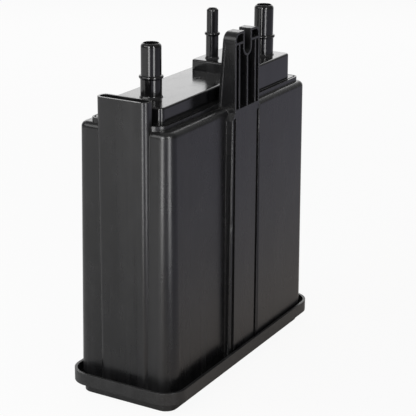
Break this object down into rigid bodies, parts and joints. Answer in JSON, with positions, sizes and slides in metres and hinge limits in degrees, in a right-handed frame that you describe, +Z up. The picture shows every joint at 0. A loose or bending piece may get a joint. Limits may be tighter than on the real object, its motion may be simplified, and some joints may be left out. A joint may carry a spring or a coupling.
{
  "type": "charcoal canister",
  "caption": "Tall black plastic vapour canister filled with carbon, with a stepped cover carrying hollow stems, an upright ribbed bracket, an end pocket and a tray-shaped bottom cap.",
  "frame": {"origin": "middle of the bottom cap's footprint, on the ground", "axes": "+X along the length from the end pocket to the raised block, +Y from the bracket to the back, +Z up along the stems"},
  "size_m": [0.2418, 0.1002, 0.287],
  "materials": {
    "housing": "satin moulded",
    "cover": "semi-gloss moulded",
    "cap": "fine grain",
    "carbon": "granular carbon",
    "fleece": "needled fleece",
    "plate": "satin moulded",
    "spring": "drawn wire"
  },
  "bodies": {
    "root": {"housing": "housing", "top_cover": "cover", "bottom_cap": "cap", "main_carbon_bed": "carbon", "vent_carbon_bed": "carbon", "main_upper_pad": "fleece", "vent_upper_pad": "fleece", "main_lower_pad": "fleece", "vent_lower_pad": "fleece", "main_pressure_plate": "plate", "vent_pressure_plate": "plate", "main_spring_left": "spring", "main_spring_right": "spring", "vent_spring": "spring"}
  },
  "joints": []
}
